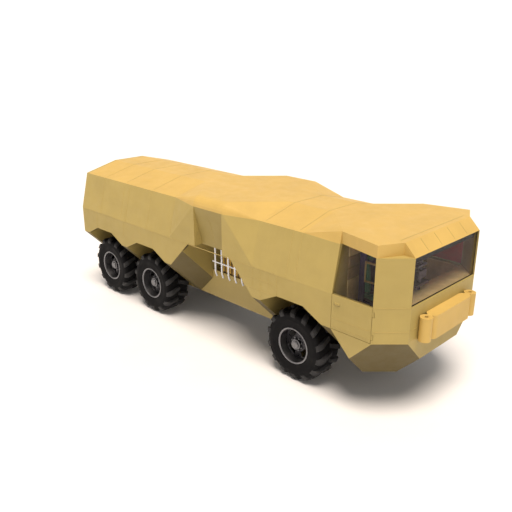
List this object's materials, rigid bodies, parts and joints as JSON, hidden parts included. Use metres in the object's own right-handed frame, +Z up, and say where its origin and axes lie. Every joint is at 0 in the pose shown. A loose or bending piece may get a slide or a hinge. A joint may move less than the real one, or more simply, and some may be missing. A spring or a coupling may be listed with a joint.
{
  "type": "six-wheeled military cargo truck",
  "caption": "Long faceted cargo truck with a cab over the front, an open waist bay, hinged cab and rear doors, and steered front wheels.",
  "frame": {"origin": "on the ground, in the middle of the length and width", "axes": "+X forward, +Y to the left, +Z up"},
  "size_m": [9, 2.8, 2.9698],
  "materials": {
    "hull_paint": "matt sand paint",
    "roof_paint": "matt sand paint, sun-bleached",
    "floor_steel": "worn matt paint",
    "tank_paint": "satin ochre paint",
    "white_paint": "satin white paint",
    "tinted_glass": "clear, grey tint",
    "cab_trim": "grained",
    "control_plastic": "grained",
    "grip_rubber": "matt",
    "seat_fabric": "woven",
    "engine_iron": "rough",
    "axle_steel": "satin",
    "rim_steel": "semi-gloss dark grey",
    "tyre_rubber": "matt"
  },
  "bodies": {
    "hull": {"chassis_spine": "hull_paint", "hull_bulkheads": "hull_paint", "nose": "hull_paint", "cargo_floor": "floor_steel", "bay_deck": "floor_steel", "engine_deck": "floor_steel", "cargo_side_left": "hull_paint", "cargo_side_right": "hull_paint", "cargo_roof": "roof_paint", "cargo_front_wall": "hull_paint", "rear_frame": "hull_paint", "mid_side_left": "hull_paint", "mid_side_right": "hull_paint", "mid_roof": "roof_paint", "cab_front": "hull_paint", "cab_pillars": "hull_paint", "cab_roof": "roof_paint", "cab_rear_wall": "hull_paint", "windshield": "tinted_glass", "dashboard": "cab_trim", "control_console": "control_plastic", "steering_wheel": "grip_rubber", "driver_seat": "seat_fabric", "engine": "engine_iron", "fuel_tank": "tank_paint", "side_racks": "white_paint", "bumper": "roof_paint", "front_axle": "axle_steel", "middle_axle": "axle_steel", "rear_axle": "axle_steel"},
    "cab_door_left": {"door_left": "hull_paint", "door_glass_left": "tinted_glass"},
    "cargo_door_left": {"rear_door_left": "hull_paint"},
    "knuckle_left": {"knuckle_left": "axle_steel"},
    "wheel_front_left": {"rim_front_left": "rim_steel", "tyre_front_left": "tyre_rubber"},
    "wheel_middle_left": {"rim_middle_left": "rim_steel", "tyre_middle_left": "tyre_rubber"},
    "wheel_rear_left": {"rim_rear_left": "rim_steel", "tyre_rear_left": "tyre_rubber"},
    "cab_door_right": {"door_right": "hull_paint", "door_glass_right": "tinted_glass"},
    "cargo_door_right": {"rear_door_right": "hull_paint"},
    "knuckle_right": {"knuckle_right": "axle_steel"},
    "wheel_front_right": {"rim_front_right": "rim_steel", "tyre_front_right": "tyre_rubber"},
    "wheel_middle_right": {"rim_middle_right": "rim_steel", "tyre_middle_right": "tyre_rubber"},
    "wheel_rear_right": {"rim_rear_right": "rim_steel", "tyre_rear_right": "tyre_rubber"}
  },
  "joints": [
    {"name": "steer_left", "type": "hinge", "parent": "hull", "child": "knuckle_left", "pos_m": [2.2, 1.005, 0.67], "axis": [0, 0, 1], "range_deg": [-28, 28]},
    {"name": "steer_right", "type": "hinge", "parent": "hull", "child": "knuckle_right", "pos_m": [2.2, -1.005, 0.67], "axis": [0, 0, 1], "range_deg": [-28, 28]},
    {"name": "spin_front_left", "type": "hinge", "parent": "knuckle_left", "child": "wheel_front_left", "pos_m": [2.2, 1.005, 0.67], "axis": [0, 1, 0], "continuous": true},
    {"name": "spin_front_right", "type": "hinge", "parent": "knuckle_right", "child": "wheel_front_right", "pos_m": [2.2, -1.005, 0.67], "axis": [0, 1, 0], "continuous": true},
    {"name": "spin_middle_left", "type": "hinge", "parent": "hull", "child": "wheel_middle_left", "pos_m": [-2, 1.005, 0.67], "axis": [0, 1, 0], "continuous": true},
    {"name": "spin_middle_right", "type": "hinge", "parent": "hull", "child": "wheel_middle_right", "pos_m": [-2, -1.005, 0.67], "axis": [0, 1, 0], "continuous": true},
    {"name": "spin_rear_left", "type": "hinge", "parent": "hull", "child": "wheel_rear_left", "pos_m": [-3.6, 1.005, 0.67], "axis": [0, 1, 0], "continuous": true},
    {"name": "spin_rear_right", "type": "hinge", "parent": "hull", "child": "wheel_rear_right", "pos_m": [-3.6, -1.005, 0.67], "axis": [0, 1, 0], "continuous": true},
    {"name": "cab_door_left_hinge", "type": "hinge", "parent": "hull", "child": "cab_door_left", "pos_m": [3.9, 1.39, 1.67], "axis": [0, 0, -1], "range_deg": [0, 75]},
    {"name": "cab_door_right_hinge", "type": "hinge", "parent": "hull", "child": "cab_door_right", "pos_m": [3.9, -1.39, 1.67], "axis": [0, 0, 1], "range_deg": [0, 75]},
    {"name": "cargo_door_left_hinge", "type": "hinge", "parent": "hull", "child": "cargo_door_left", "pos_m": [-4.49, 1.024, 2.19], "axis": [0, 0, -1], "range_deg": [0, 110]},
    {"name": "cargo_door_right_hinge", "type": "hinge", "parent": "hull", "child": "cargo_door_right", "pos_m": [-4.49, -1.024, 2.19], "axis": [0, 0, 1], "range_deg": [0, 110]}
  ],
  "couplings": [
    {"joint": "steer_right", "follows": "steer_left", "ratio": 1}
  ]
}
